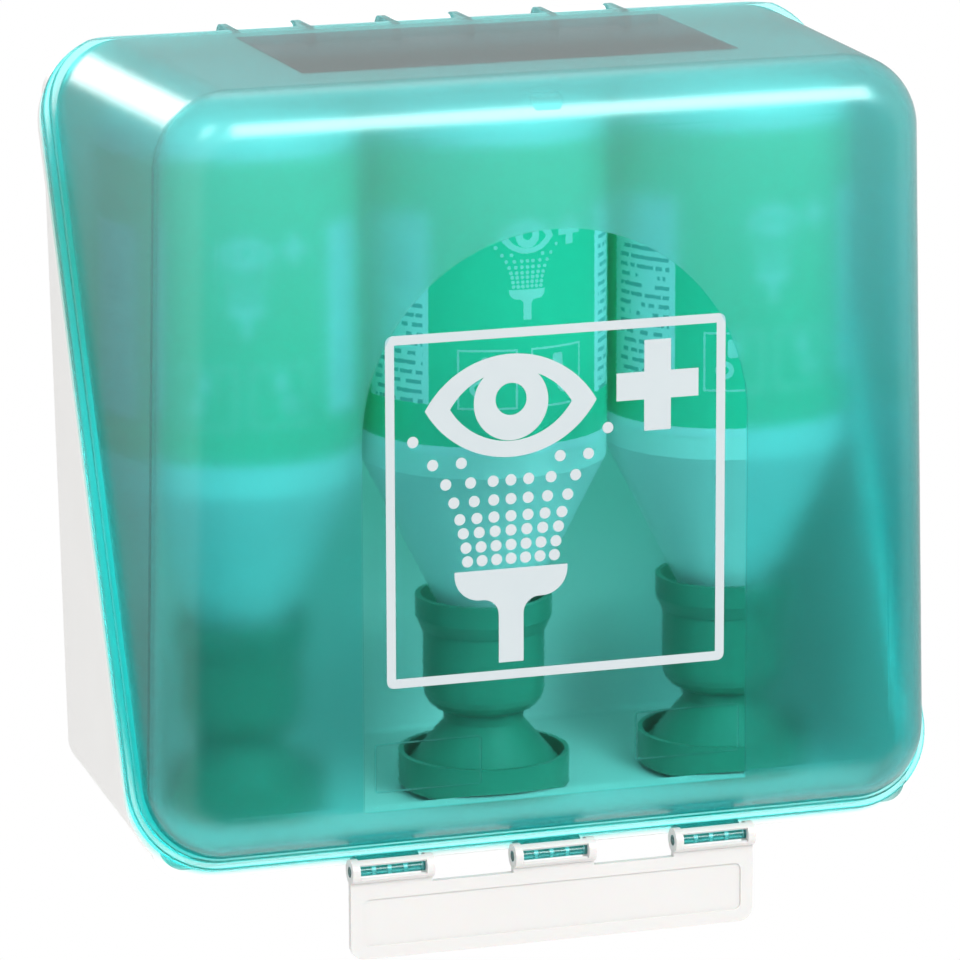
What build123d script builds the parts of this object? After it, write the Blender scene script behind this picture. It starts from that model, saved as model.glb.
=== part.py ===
from build123d import *
import math
import os

# Wall-mounted eyewash station: a two-part box with a tilted parting line, a top-hinged see-through cover,
# a label plate hanging on the cover's lower hinge bars, and three eyewash bottles stood upside down inside.
# Frame: +X to the right of a person facing the box, +Y into the wall, +Z up, in millimetres.
# Origin: the centre of the four wall screws, in the plane of the wall, so the box lies at Y < 0.

# Box: outer sizes and the parting line
box_width = 236.0             # over the cover's flange
box_height = 220.0            # lower edge of the base's rim to the top of the cover
box_depth = 125.0             # wall to the cover's front face
screw_height = 120.0          # wall screws' centre above the lower edge of the rim
base_depth_top = 16.5         # wall to the parting line at the top
cover_depth_bottom = 12.0     # parting line to the front face at the bottom
rim_drop = 2.3                # how far the base's rim shows below the cover's flange
parting_gap = 0.3             # between the cover's flange and the base's rim

# Cover
cover_wall = 2.2
cover_draft = 3.0             # degrees, side walls
cover_top_draft = 0.3
cover_corner = 21.0
cover_front_edge = 14.5
flange_width = 3.3            # how far the flange stands out of the walls
flange_thickness = 3.0
flange_corner = 24.0
step_width = 1.4              # second, narrower step in front of the flange
step_thickness = 1.6
rim_edge = 0.5                # small rounding of the flange, the rim and the plate
rail_depth = 6.0              # stiffening rail inside the top edge, where the ears are rooted
rail_overhang = 8.0
window_half_width = 56.0      # polished window with an arched head, set back a little
window_bottom = 16.0          # above the flange's lower edge
window_head = 176.0           # highest point of the arch, above the flange's lower edge
window_recess = 0.2
stamp_size = (31.0, 14.0)     # two blank outlined panels low on the front
stamp_x = (-37.5, 38.5)
stamp_height = (28.5, 31.0)   # their centres above the flange's lower edge
stamp_line = 0.5
stamp_corner = 1.0
gate_radius = 4.6             # the moulding gate's flat spot, on the rounded upper front edge
gate_x = -2.0
gate_angle = 35.0             # degrees round that edge, from the front face
gate_depth = 0.55

# Base
base_wall = 2.0
base_draft = 2.9              # degrees, side walls
base_floor_draft = 1.5
base_inset = 5.2              # side walls, in from the flange's edge
base_top_inset = 8.0
base_bottom_inset = 1.4       # underside above the rim's lower edge
base_corner = 9.0
base_back_edge = 4.0
rim_thickness = 2.5
rim_top_drop = 1.0            # rim's upper edge below the cover's, so that the cover swings over it
screw_spacing = (170.0, 130.0)
screw_hole_radius = 2.75
screw_pad_radius = 8.0
screw_pad_height = 1.5

# Snap hinges: three stations, the same at the top and at the bottom
hinge_pitch = 47.5
hinge_half_length = 11.9
bar_radius = 1.5
bar_clearance = 0.08          # running fit of a bar in its knuckle or cheek
ear_thickness = 2.0
ear_radius = 3.6
ear_wall_gap = 0.8            # ears clear the wall by this
ear_side_gap = 0.5            # between ears and knuckle, and between cheeks and tongue
knuckle_wall = 1.5
bar_forward = 3.6             # lower bars: behind the front face
bar_drop = 1.3                # lower bars: below the flange's lower edge
tongue_thickness = 1.8
tongue_rib = 0.6

# Label plate
cheek_radius = 3.5
cheek_width = 2.2
tube_wall = 0.9
plate_drop = 25.4             # bar centre to the plate's lower edge
plate_top_drop = 4.6          # bar centre to the plate's upper edge between the knuckles
plate_thickness = 2.0
plate_corner = 4.0
field_margin = 3.6
field_corner = 2.0
field_depth = 0.5
hook_front = (104.0, 138.0)   # degrees round the bar, from the back up: upper stretch of a plate knuckle
hook_back = (212.0, 276.0)    # lower stretch

# Bottles, upside down: heights are above the foot of the dust cap
bottle_pitch = 73.0
bottle_y = -61.0
foot_gap = 0.3                # foot above the floor's highest point under it
cap_radius = 24.5
cap_height = 10.0
cap_wall = 1.4
cap_floor = 2.2
cap_edge = 0.8                # chamfer round the foot
cup_lip_radius = 22.3
cup_lip_height = 4.5
cup_wall = 1.5
waist_radius = 11.5
waist_height = 19.0
head_radius = 17.4
head_bottom = 22.0
head_top = 48.0
head_edge = 7.0               # rounding of the head's lower end
collar_radius = 19.5
collar_wall = 1.6
collar_height = 10.0
collar_bottom = 46.0
collar_bevel = (1.7, 3.8)     # inwards and upwards, round the collar's lower edge
neck_radius = 13.0
neck_bottom = 29.0
neck_stop = 2.0               # inward step of the head that the neck and its seal press on
shoulder_start = 53.0
body_radius = 35.0
body_start = 97.0
bottle_length = 202.0
bottle_base_edge = 8.0
bottle_wall = 1.2
wrap_bottom = 103.5
wrap_top = 191.0
wrap_thickness = 0.15
liquid_gap = 0.1
seal_thickness = 1.6
seal_width = 3.5
nozzle_height = 8.0
nozzle_wall = 1.5
nozzle_floor = 2.0
nozzle_holes = 6
nozzle_hole_radius = 0.7
fit_gap = 0.1                 # between pieces of one bottle that are screwed or pushed together

# Worked out from the sizes above
top_z = box_height - screw_height
bottom_z = -screw_height
flange_bottom_z = bottom_z + rim_drop
front_y = -box_depth
parting_slope = (box_depth - base_depth_top - cover_depth_bottom) / (top_z - flange_bottom_z)
tilt = math.atan(parting_slope)
flange_length = (top_z - flange_bottom_z) / math.cos(tilt)
pivot_y = -ear_wall_gap - ear_radius
pivot_z = top_z - ear_radius - 0.2
bar_y = front_y + bar_forward
bar_z = flange_bottom_z - bar_drop
base_top_z = top_z - base_top_inset
base_floor_z = bottom_z + base_bottom_inset
stations = [-hinge_pitch, 0.0, hinge_pitch]
sides = {"left": -bottle_pitch, "middle": 0.0, "right": bottle_pitch}
far = 400.0                   # larger than the box in any direction


def parting_y(z):
    """Y of the parting plane at height z."""
    return -base_depth_top - (top_z - z) * parting_slope


def on_parting(z, gap=0.0):
    """The parting plane, or one moved forwards by gap, with local x along X and local y up its slope."""
    normal = Vector(0, -math.cos(tilt), math.sin(tilt))
    return Plane(origin=Vector(0, parting_y(z), z) + normal * gap, x_dir=(1, 0, 0), z_dir=normal)


def keep_below(shape, point, normal):
    """The part of shape on the side of a plane that its normal points away from."""
    return split(shape, bisect_by=Plane(origin=point, z_dir=normal), keep=Keep.BOTTOM)


def drafted_block(side, half_width, high, low, end_y, side_draft, end_draft, corner, edge, overrun=30.0):
    """A block that tapers away from the parting plane, forwards (side -1) or backwards (side +1).

    high and low are where its top and bottom walls meet the parting plane; it runs past it by overrun.
    """
    k_side = side * math.tan(math.radians(side_draft))
    k_end = side * math.tan(math.radians(end_draft))
    middle = (high + low) / 2
    block = Box(far, far, far)
    for hand in (-1, 1):
        block = keep_below(block, (hand * half_width, parting_y(middle), middle),
                           (hand, k_side, -k_side * parting_slope))
    block = keep_below(block, (0, parting_y(high), high), (0, k_end, 1))
    block = keep_below(block, (0, parting_y(low), low), (0, k_end, -1))
    block = keep_below(block, (0, end_y, 0), (0, side, 0))
    start = on_parting(middle, side * overrun)
    block = keep_below(block, start.origin, start.z_dir * side)
    end_face = block.faces().sort_by(Axis.Y)[0 if side < 0 else -1]
    start_face = block.faces().sort_by(lambda f: side * f.center().dot(start.z_dir))[-1]
    block = fillet(block.edges() - end_face.edges() - start_face.edges(), corner)
    end_face = block.faces().sort_by(Axis.Y)[0 if side < 0 else -1]
    return fillet(end_face.edges(), edge)


def rounded_plate(plane, width, length, corner, thickness, edge):
    """A rounded rectangle on a plane, from y = 0 up to length, extruded, with its far outer edge rounded."""
    outline = plane * (Pos(0, length / 2) * RectangleRounded(width, length, corner))
    plate = extrude(outline, amount=thickness)
    if edge:
        outwards = plane.z_dir * math.copysign(1, thickness)
        far_face = plate.faces().sort_by(lambda f: f.center().dot(outwards))[-1]
        plate = fillet(far_face.edges(), edge)
    return plate


def cylinder_x(radius, x0, x1, y, z):
    """A cylinder along X."""
    return Pos((x0 + x1) / 2, y, z) * Rot(0, 90, 0) * Cylinder(radius, abs(x1 - x0))


def slab(x0, x1, y0, y1, z0, z1):
    """A box between two corners."""
    return Pos((x0 + x1) / 2, (y0 + y1) / 2, (z0 + z1) / 2) * Box(x1 - x0, y1 - y0, z1 - z0)


def profile_x(points, x0, x1):
    """A polygon of (y, z) points, extruded along X."""
    outline = make_face(Polyline(*[(x0, y, z) for y, z in points], close=True))
    return extrude(outline, amount=x1 - x0, dir=(1, 0, 0))


def turned(points):
    """A solid turned about Z from (radius, height) points."""
    outline = make_face(Polyline(*[(r, 0, z) for r, z in points], close=True))
    return revolve(outline, Axis.Z)


def tube_arc(x0, x1, inner, outer, start, end):
    """A stretch of tube about the lower hinge bar, between two angles in degrees, from +Y up over +Z."""
    sweep = math.radians(end - start)
    ring = cylinder_x(outer, x0, x1, 0, 0) - cylinder_x(inner, x0 - 1, x1 + 1, 0, 0)
    reach = outer / math.cos(sweep / 2) * 1.05
    wedge = [(0, 0)]
    wedge += [(reach * math.cos(math.radians(a)), reach * math.sin(math.radians(a)))
              for a in (start, (start + end) / 2, end)]
    return Pos(0, bar_y, bar_z) * (ring & profile_x(wedge, x0, x1))


def front_mark(shape, x, height, depth):
    """A sketch cut into the front face, its origin at X = x and height above the flange's lower edge."""
    plane = Plane(origin=(x, front_y, flange_bottom_z + height), x_dir=(1, 0, 0), z_dir=(0, -1, 0))
    return extrude(plane * shape, amount=-depth) + extrude(plane * shape, amount=1.0)


def make_cover():
    """The see-through cover: drafted shell, stepped flange, ears and bars on top, tongues and bars below."""
    low = flange_bottom_z + flange_width
    half = box_width / 2 - flange_width
    outer = drafted_block(-1, half, top_z, low, front_y, cover_draft, cover_top_draft,
                          cover_corner, cover_front_edge)
    inner = drafted_block(-1, half - cover_wall, top_z - cover_wall, low + cover_wall, front_y + cover_wall,
                          cover_draft, cover_top_draft, cover_corner - cover_wall,
                          cover_front_edge - cover_wall)
    parting = on_parting(flange_bottom_z)
    flange = rounded_plate(parting, box_width, flange_length, flange_corner, flange_thickness, rim_edge)
    inset = flange_width - step_width
    step = rounded_plate(on_parting(flange_bottom_z + inset * math.cos(tilt)), box_width - 2 * inset,
                         flange_length - inset, flange_corner - inset, flange_thickness + step_thickness,
                         rim_edge)
    body = outer + flange + step
    body = keep_below(body, (0, 0, top_z), (0, 0, 1))
    front = on_parting(0)
    body = keep_below(body, front.origin, -front.z_dir)
    body -= inner
    rail_half = hinge_pitch + hinge_half_length + rail_overhang
    rail_low = top_z - rail_depth
    rail = profile_x([(parting_y(top_z), top_z), (parting_y(rail_low), rail_low),
                      (parting_y(rail_low) - flange_thickness, rail_low),
                      (parting_y(top_z) - flange_thickness, top_z)], -rail_half, rail_half)
    body += rail
    straight = window_head - window_half_width
    window = Pos(0, straight) * Circle(window_half_width)
    window += (Pos(0, (straight + window_bottom) / 2)
               * Rectangle(2 * window_half_width, straight - window_bottom))
    body -= front_mark(window, 0, 0, window_recess)
    for x, height in zip(stamp_x, stamp_height):
        wide, tall = stamp_size
        outline = RectangleRounded(wide, tall, stamp_corner)
        outline -= RectangleRounded(wide - 2 * stamp_line, tall - 2 * stamp_line, stamp_corner - stamp_line)
        body -= front_mark(outline, x, height, 2 * window_recess)
    body -= gate_spot()
    for x in stations:
        body += hinge_ears(x)
        body += hinge_tongue(x)
    return body


def gate_spot():
    """The disc of material that the moulding gate's flat spot takes off the upper front edge."""
    angle = math.radians(gate_angle)
    outward = Vector(0, -math.cos(angle), math.sin(angle))
    edge_centre = Vector(gate_x, front_y + cover_front_edge, top_z - cover_front_edge)
    spot = edge_centre + outward * (cover_front_edge - gate_depth)
    plane = Plane(origin=spot, x_dir=(1, 0, 0), z_dir=outward)
    return extrude(plane * Circle(gate_radius), amount=4 * gate_depth)


def hinge_ears(x):
    """Two ears behind the cover's top edge, with the bar between them."""
    root_low = pivot_z - ear_radius
    pair = cylinder_x(bar_radius, x - hinge_half_length, x + hinge_half_length, pivot_y, pivot_z)
    for hand in (-1, 1):
        outer_x = x + hand * hinge_half_length
        inner_x = outer_x - hand * ear_thickness
        x0, x1 = min(outer_x, inner_x), max(outer_x, inner_x)
        ear = cylinder_x(ear_radius, x0, x1, pivot_y, pivot_z)
        ear += profile_x([(pivot_y, root_low), (pivot_y, pivot_z + ear_radius),
                          (parting_y(top_z) - 1, pivot_z + ear_radius),
                          (parting_y(root_low) - 1, root_low)], x0, x1)
        pair += ear
    return pair


def hinge_tongue(x):
    """A ribbed tongue from the cover's lower edge down to its bar, whose ends stand out on both sides."""
    half = hinge_half_length - cheek_width - ear_side_gap
    bar = cylinder_x(bar_radius, x - hinge_half_length, x + hinge_half_length, bar_y, bar_z)
    root_y = parting_y(flange_bottom_z)
    root_z = flange_bottom_z
    thick = tongue_thickness
    tongue = profile_x([(bar_y, bar_z - thick / 2), (bar_y, bar_z + thick / 2),
                        (root_y - 4 * flange_thickness / 3, root_z + thick),
                        (root_y, root_z + thick / 2), (root_y - 0.3, root_z - 0.3)], x - half, x + half)
    tongue += bar
    for offset in (-half / 2, 0, half / 2):
        tongue += slab(x + offset - tongue_rib, x + offset + tongue_rib, bar_y, bar_y + 4 * tongue_rib,
                       bar_z - thick / 2, bar_z + bar_radius)
    return tongue


def make_base():
    """The opaque base: drafted shell open at the parting plane, rim, hinge knuckles and wall-screw pads."""
    half = box_width / 2 - base_inset
    outer = drafted_block(1, half, base_top_z, base_floor_z, 0, base_draft, base_floor_draft,
                          base_corner, base_back_edge)
    inner = drafted_block(1, half - base_wall, base_top_z - base_wall, base_floor_z + base_wall, -base_wall,
                          base_draft, base_floor_draft, base_corner - base_wall, base_back_edge - base_wall)
    behind = on_parting(0, -parting_gap)
    rim_low = bottom_z + rim_thickness * math.sin(tilt)
    plane = on_parting(rim_low, -parting_gap)
    length = (top_z - rim_top_drop - rim_low) / math.cos(tilt)
    rim = rounded_plate(plane, box_width + 2 * rim_edge, length, flange_corner, -rim_thickness, rim_edge)
    body = outer + rim
    body = keep_below(body, behind.origin, behind.z_dir)
    body -= inner
    for x in stations:
        body -= slab(x - hinge_half_length - ear_side_gap, x + hinge_half_length + ear_side_gap,
                     parting_y(base_top_z) - 5, 0, base_top_z + 0.05, top_z + 5)
        body += hinge_knuckle(x)
    for hand_x in (-1, 1):
        for hand_z in (-1, 1):
            place = Pos(hand_x * screw_spacing[0] / 2, 0, hand_z * screw_spacing[1] / 2) * Rot(90, 0, 0)
            pad_depth = base_wall + screw_pad_height
            body += place * Pos(0, 0, pad_depth / 2) * Cylinder(screw_pad_radius, pad_depth)
            body -= place * Cylinder(screw_hole_radius, 4 * pad_depth)
    return body


def hinge_knuckle(x):
    """A hook on the base's top wall, closed round the cover's bar."""
    half = hinge_half_length - ear_thickness - ear_side_gap
    bore = bar_radius + bar_clearance
    outer = bore + knuckle_wall
    knuckle = cylinder_x(outer, x - half, x + half, pivot_y, pivot_z)
    foot_z = base_top_z - 0.75 * base_wall
    knuckle += slab(x - half, x + half, pivot_y - outer, pivot_y + outer, foot_z, pivot_z)
    return knuckle - cylinder_x(bore, x - half - 1, x + half + 1, pivot_y, pivot_z)


def make_label_plate():
    """The white plate: three windowed knuckles round the cover's lower bars, and a recessed label field."""
    half_width = hinge_pitch + hinge_half_length
    back_y = bar_y + plate_thickness / 2
    plane = Plane(origin=(0, back_y, bar_z - plate_drop), x_dir=(1, 0, 0), z_dir=(0, -1, 0))
    height = plate_drop - plate_top_drop
    outline = Pos(0, height / 2) * Rectangle(2 * half_width, height)
    outline = fillet(outline.vertices().group_by(Axis.Y)[0], plate_corner)
    plate = extrude(plane * outline, amount=plate_thickness)
    field = Pos(0, height / 2) * RectangleRounded(2 * (half_width - field_margin), height - 2 * field_margin,
                                                  field_corner)
    front = plane.offset(plate_thickness)
    plate -= extrude(front * field, amount=-field_depth)
    bore = bar_radius + bar_clearance
    for x in stations:
        low, high = x - hinge_half_length, x + hinge_half_length
        inner = cheek_radius - tube_wall
        for cheek in (low, high - cheek_width):
            disc = cylinder_x(cheek_radius, cheek, cheek + cheek_width, bar_y, bar_z)
            disc += slab(cheek, cheek + cheek_width, bar_y - plate_thickness / 2, back_y,
                         bar_z - plate_top_drop - 1, bar_z)
            plate += disc - cylinder_x(bore, cheek - 1, cheek + cheek_width + 1, bar_y, bar_z)
        for start, end in (hook_front, hook_back):
            plate += tube_arc(low + cheek_width / 2, high - cheek_width / 2, inner, cheek_radius, start, end)
        plate += slab(low, high, bar_y - plate_thickness / 2, back_y, bar_z - plate_top_drop - 0.5,
                      bar_z - inner - 0.2)
    return plate


def floor_height(y):
    """Z of the base's inner floor at y."""
    rise = math.tan(math.radians(base_floor_draft)) * (y - parting_y(base_floor_z + base_wall))
    return base_floor_z + base_wall + rise


def bottle_pieces():
    """The pieces of one bottle, turned about Z, with the foot of its dust cap at Z = 0."""
    pieces = {}
    pieces["dust_cap"] = turned([
        (0, 0), (cap_radius - cap_edge, 0), (cap_radius, cap_edge), (cap_radius, cap_height),
        (cap_radius - cap_wall, cap_height), (cap_radius - cap_wall, cap_floor), (0, cap_floor)])
    edge_arc = [(head_radius + head_edge * (math.sin(a) - 1), head_bottom + head_edge * (1 - math.cos(a)))
                for a in (math.radians(15 * i) for i in range(7))]
    seat = neck_bottom - seal_thickness - fit_gap
    pieces["eye_cup"] = turned([
        (cup_lip_radius, cup_lip_height), (cup_lip_radius, cup_lip_height + cup_wall),
        (waist_radius, waist_height), (waist_radius, head_bottom), *edge_arc,
        (head_radius, head_top), (neck_radius + fit_gap, head_top), (neck_radius + fit_gap, seat),
        (neck_radius - neck_stop, seat), (neck_radius - neck_stop, head_bottom + cup_wall),
        (waist_radius - cup_wall, head_bottom + cup_wall),
        (waist_radius - cup_wall, waist_height), (cup_lip_radius - cup_wall, cup_lip_height)])
    pieces["collar"] = turned([
        (head_radius + fit_gap, collar_bottom), (collar_radius - collar_bevel[0], collar_bottom),
        (collar_radius, collar_bottom + collar_bevel[1]),
        (collar_radius, collar_bottom + collar_height),
        (collar_radius - collar_wall, collar_bottom + collar_height),
        (collar_radius - collar_wall, head_top + fit_gap + collar_wall),
        (neck_radius + fit_gap, head_top + fit_gap + collar_wall),
        (neck_radius + fit_gap, head_top + fit_gap), (head_radius + fit_gap, head_top + fit_gap)])
    pieces["neck_seal"] = turned([
        (neck_radius - seal_width, neck_bottom - seal_thickness), (neck_radius, neck_bottom - seal_thickness),
        (neck_radius, neck_bottom), (neck_radius - seal_width, neck_bottom)])
    insert_radius = waist_radius - cup_wall - fit_gap
    insert_top = head_bottom + cup_wall - fit_gap
    insert_foot = insert_top - nozzle_height
    bowl_radius = insert_radius - nozzle_wall
    bowl_floor = insert_foot + nozzle_floor
    insert = turned([(0, insert_foot), (insert_radius, insert_foot), (insert_radius, insert_top),
                     (bowl_radius, insert_top), (bowl_radius, bowl_floor), (0, bowl_floor)])
    for i in range(nozzle_holes):
        angle = math.radians(360 / nozzle_holes * i)
        insert -= (Pos(insert_radius / 2 * math.cos(angle), insert_radius / 2 * math.sin(angle), insert_top)
                   * Cylinder(nozzle_hole_radius, 3 * nozzle_height))
    pieces["spray_insert"] = insert
    pieces["bottle"] = turned(bottle_outline(0)) - turned(bottle_outline(bottle_wall))
    pieces["saline"] = turned(bottle_outline(bottle_wall + liquid_gap))
    inner = body_radius + wrap_thickness / 2
    pieces["wrap_label"] = turned([(inner, wrap_bottom), (inner + wrap_thickness, wrap_bottom),
                                   (inner + wrap_thickness, wrap_top), (inner, wrap_top)])
    return pieces


def bottle_outline(inset):
    """(radius, height) points of the bottle, or of a skin that lies inset inside it."""
    shoulder = math.atan2(body_radius - neck_radius, body_start - shoulder_start)
    shift = inset * math.tan(shoulder / 2)
    edge = bottle_base_edge - inset
    top = bottle_length - inset
    arc = [(body_radius - inset - edge + edge * math.cos(a), top - edge + edge * math.sin(a))
           for a in (math.radians(15 * i) for i in range(7))]
    return [(0, neck_bottom), (neck_radius - inset, neck_bottom),
            (neck_radius - inset, shoulder_start + shift), (body_radius - inset, body_start + shift),
            *arc, (0, top)]


def write(node, shape):
    """Write one node's solids to its STEP file."""
    export_step(Compound(children=list(shape.solids())), f"parts/{node}.step")


os.makedirs("parts", exist_ok=True)
write("base_shell", make_base())
write("cover_shell", make_cover())
write("label_plate", make_label_plate())
foot_z = floor_height(bottle_y + cap_radius) + foot_gap
for side_name, bottle_x in sides.items():
    for piece_name, piece in bottle_pieces().items():
        write(f"{piece_name}_{side_name}", Pos(bottle_x, bottle_y, foot_z) * piece)
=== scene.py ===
"""Looks of a wall-mounted eyewash station: finishes, printed sign, bottle labels, studio and camera.

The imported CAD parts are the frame. They keep their shape and get their finishes here, and the thin printed
pieces that the CAD leaves out are modelled on top of them.
"""

from __future__ import annotations

import logging
import math
from collections.abc import Callable, Mapping
from dataclasses import dataclass
from enum import Enum
from typing import Any

import bmesh
import bpy
from mathutils import Matrix, Vector

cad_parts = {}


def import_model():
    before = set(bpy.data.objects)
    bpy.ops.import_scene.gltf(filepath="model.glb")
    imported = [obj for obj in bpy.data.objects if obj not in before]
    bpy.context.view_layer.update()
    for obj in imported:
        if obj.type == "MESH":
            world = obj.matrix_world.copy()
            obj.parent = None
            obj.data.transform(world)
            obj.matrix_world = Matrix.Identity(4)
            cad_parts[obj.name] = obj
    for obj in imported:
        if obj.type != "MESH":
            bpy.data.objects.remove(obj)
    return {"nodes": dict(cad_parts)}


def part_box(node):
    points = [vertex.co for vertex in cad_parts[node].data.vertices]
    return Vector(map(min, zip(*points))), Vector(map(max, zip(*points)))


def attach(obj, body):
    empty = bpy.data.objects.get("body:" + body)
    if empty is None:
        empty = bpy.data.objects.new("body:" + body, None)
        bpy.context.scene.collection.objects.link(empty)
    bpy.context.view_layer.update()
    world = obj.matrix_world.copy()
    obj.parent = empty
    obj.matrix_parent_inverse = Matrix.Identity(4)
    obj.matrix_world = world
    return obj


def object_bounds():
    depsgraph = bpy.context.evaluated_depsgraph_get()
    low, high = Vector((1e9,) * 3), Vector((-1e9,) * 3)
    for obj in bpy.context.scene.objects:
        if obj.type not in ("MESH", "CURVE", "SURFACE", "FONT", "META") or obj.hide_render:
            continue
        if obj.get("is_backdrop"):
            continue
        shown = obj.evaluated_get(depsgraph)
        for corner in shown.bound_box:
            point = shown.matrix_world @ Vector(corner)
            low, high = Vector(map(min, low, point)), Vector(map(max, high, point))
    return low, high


log = logging.getLogger("eyewash_station")

MM = 0.001
Socket = bpy.types.NodeSocket
Tree = bpy.types.NodeTree
Piece = bpy.types.Object


class Side(Enum):
    """The place of a bottle in the box."""

    LEFT = "left"
    MIDDLE = "middle"
    RIGHT = "right"


class Element(Enum):
    """What edit mode selects."""

    FACE = "FACE"
    EDGE = "EDGE"


class Combine(Enum):
    """How one solid is combined with another."""

    JOIN = "UNION"
    CUT = "DIFFERENCE"
    OVERLAP = "INTERSECT"


# ---------------------------------------------------------------- nodes and colours


def linear(colour: str) -> tuple[float, float, float, float]:
    """Turn an sRGB hex colour into a linear one.

    Args:
        colour: six hex digits after a hash.

    Returns:
        Linear red, green, blue and an alpha of 1.
    """
    parts = [int(colour[i:i + 2], 16) / 255 for i in (1, 3, 5)]
    red, green, blue = (c / 12.92 if c <= 0.04045 else ((c + 0.055) / 1.055) ** 2.4 for c in parts)
    return red, green, blue, 1.0


def add_node(tree: Tree, kind: str, inputs: Mapping[str | int, Any] | None = None,
             **settings: Any) -> bpy.types.Node:
    """Add a node, with its settings made and its inputs set or linked.

    Args:
        tree: the node tree that it goes into.
        kind: the node's type name.
        inputs: values or output sockets, by input name or number.
        settings: the node's own properties.

    Returns:
        The new node.
    """
    node = tree.nodes.new(kind)
    for name, value in settings.items():
        setattr(node, name, value)
    for name, value in (inputs or {}).items():
        if isinstance(value, Socket):
            tree.links.new(value, node.inputs[name])
        else:
            node.inputs[name].default_value = value
    return node


def object_point(tree: Tree) -> Socket:
    """The point's place on the object, in metres."""
    return add_node(tree, "ShaderNodeTexCoord").outputs["Object"]


def within(tree: Tree, value: Socket, low: float, high: float) -> Socket:
    """Mark where a value lies between two limits.

    Args:
        tree: the node tree.
        value: the value that is tested.
        low: the lower limit.
        high: the upper limit.

    Returns:
        1 between the limits and 0 outside them.
    """
    node = add_node(tree, "ShaderNodeMath", {0: value, 1: (low + high) / 2, 2: (high - low) / 2},
                    operation="COMPARE")
    return node.outputs[0]


def all_of(tree: Tree, first: Socket, *others: Socket) -> Socket:
    """Mark where every one of several masks is 1.

    Args:
        tree: the node tree.
        first: the first mask.
        others: the rest.

    Returns:
        Their product.
    """
    for other in others:
        first = add_node(tree, "ShaderNodeMath", {0: first, 1: other}, operation="MULTIPLY").outputs[0]
    return first


def any_of(tree: Tree, first: Socket, *others: Socket) -> Socket:
    """Mark where at least one of several masks is 1.

    Args:
        tree: the node tree.
        first: the first mask.
        others: the rest.

    Returns:
        Their maximum.
    """
    for other in others:
        first = add_node(tree, "ShaderNodeMath", {0: first, 1: other}, operation="MAXIMUM").outputs[0]
    return first


def blend_colours(tree: Tree, mask: Socket, below: Socket | tuple, above: Socket | tuple) -> Socket:
    """Lay one colour over another through a mask.

    Args:
        tree: the node tree.
        mask: 0 for the lower colour and 1 for the upper one.
        below: the lower colour.
        above: the upper colour.

    Returns:
        The blended colour.
    """
    return add_node(tree, "ShaderNodeMix", {0: mask, 6: below, 7: above}, data_type="RGBA").outputs[2]


def moulded_grain(tree: Tree, grain: float, depth: float, strength: float) -> Socket:
    """The fine relief that a spark-eroded or blasted mould leaves.

    Args:
        tree: the node tree.
        grain: size of one grain, in millimetres.
        depth: height of the relief, in millimetres.
        strength: how much of it shows, from 0 to 1.

    Returns:
        The bumped normal.
    """
    noise = add_node(tree, "ShaderNodeTexNoise",
                     {"Vector": object_point(tree), "Scale": 1 / (grain * MM), "Detail": 2.0,
                      "Roughness": 0.55})
    bump = add_node(tree, "ShaderNodeBump",
                    {"Height": noise.outputs[0], "Strength": strength, "Distance": depth * MM})
    return bump.outputs["Normal"]


def shadow_clear(tree: Tree, shader: Socket, share: tuple[float, float, float]) -> Socket:
    """Let light on to what is behind a see-through piece, which would otherwise cast a black shadow.

    Args:
        tree: the node tree.
        shader: the surface that every other ray meets.
        share: how much red, green and blue light each surface lets through.

    Returns:
        The whole surface.
    """
    through = add_node(tree, "ShaderNodeBsdfTransparent", {0: (*share, 1.0)})
    light = add_node(tree, "ShaderNodeLightPath")
    whole = add_node(tree, "ShaderNodeMixShader", {0: light.outputs["Is Shadow Ray"], 1: shader,
                                                   2: through.outputs[0]})
    return whole.outputs[0]


def mottled(tree: Tree, colour: str, other: str, patch: float) -> Socket:
    """A colour that drifts a little over the surface, as a moulded pigment does.

    Args:
        tree: the node tree.
        colour: the main colour.
        other: the colour that it drifts to.
        patch: size of one patch, in millimetres.

    Returns:
        The drifting colour.
    """
    noise = add_node(tree, "ShaderNodeTexNoise",
                     {"Vector": object_point(tree), "Scale": 1 / (patch * MM), "Detail": 3.0})
    return blend_colours(tree, noise.outputs[0], linear(colour), linear(other))


# ---------------------------------------------------------------- finishes


@dataclass(frozen=True)
class Finish:
    """A finish, made into one material that every piece with it shares."""

    name: str

    def material(self) -> bpy.types.Material:
        """Make the material, or fetch it when it is there.

        Returns:
            The material.
        """
        found = bpy.data.materials.get(self.name)
        if found is not None:
            return found
        made = bpy.data.materials.new(self.name)
        made.use_nodes = True
        made.node_tree.nodes.clear()
        self.build(made.node_tree)
        return made

    def build(self, tree: Tree) -> None:
        """Fill the material's node tree."""
        raise NotImplementedError

    def dress(self, piece: Piece) -> Piece:
        """Put the finish on every material slot of a piece.

        Args:
            piece: a CAD node or a modelled piece.

        Returns:
            The same piece.
        """
        if not piece.data.materials:
            piece.data.materials.append(None)
        for place in piece.material_slots:
            place.material = self.material()
        return piece


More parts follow.
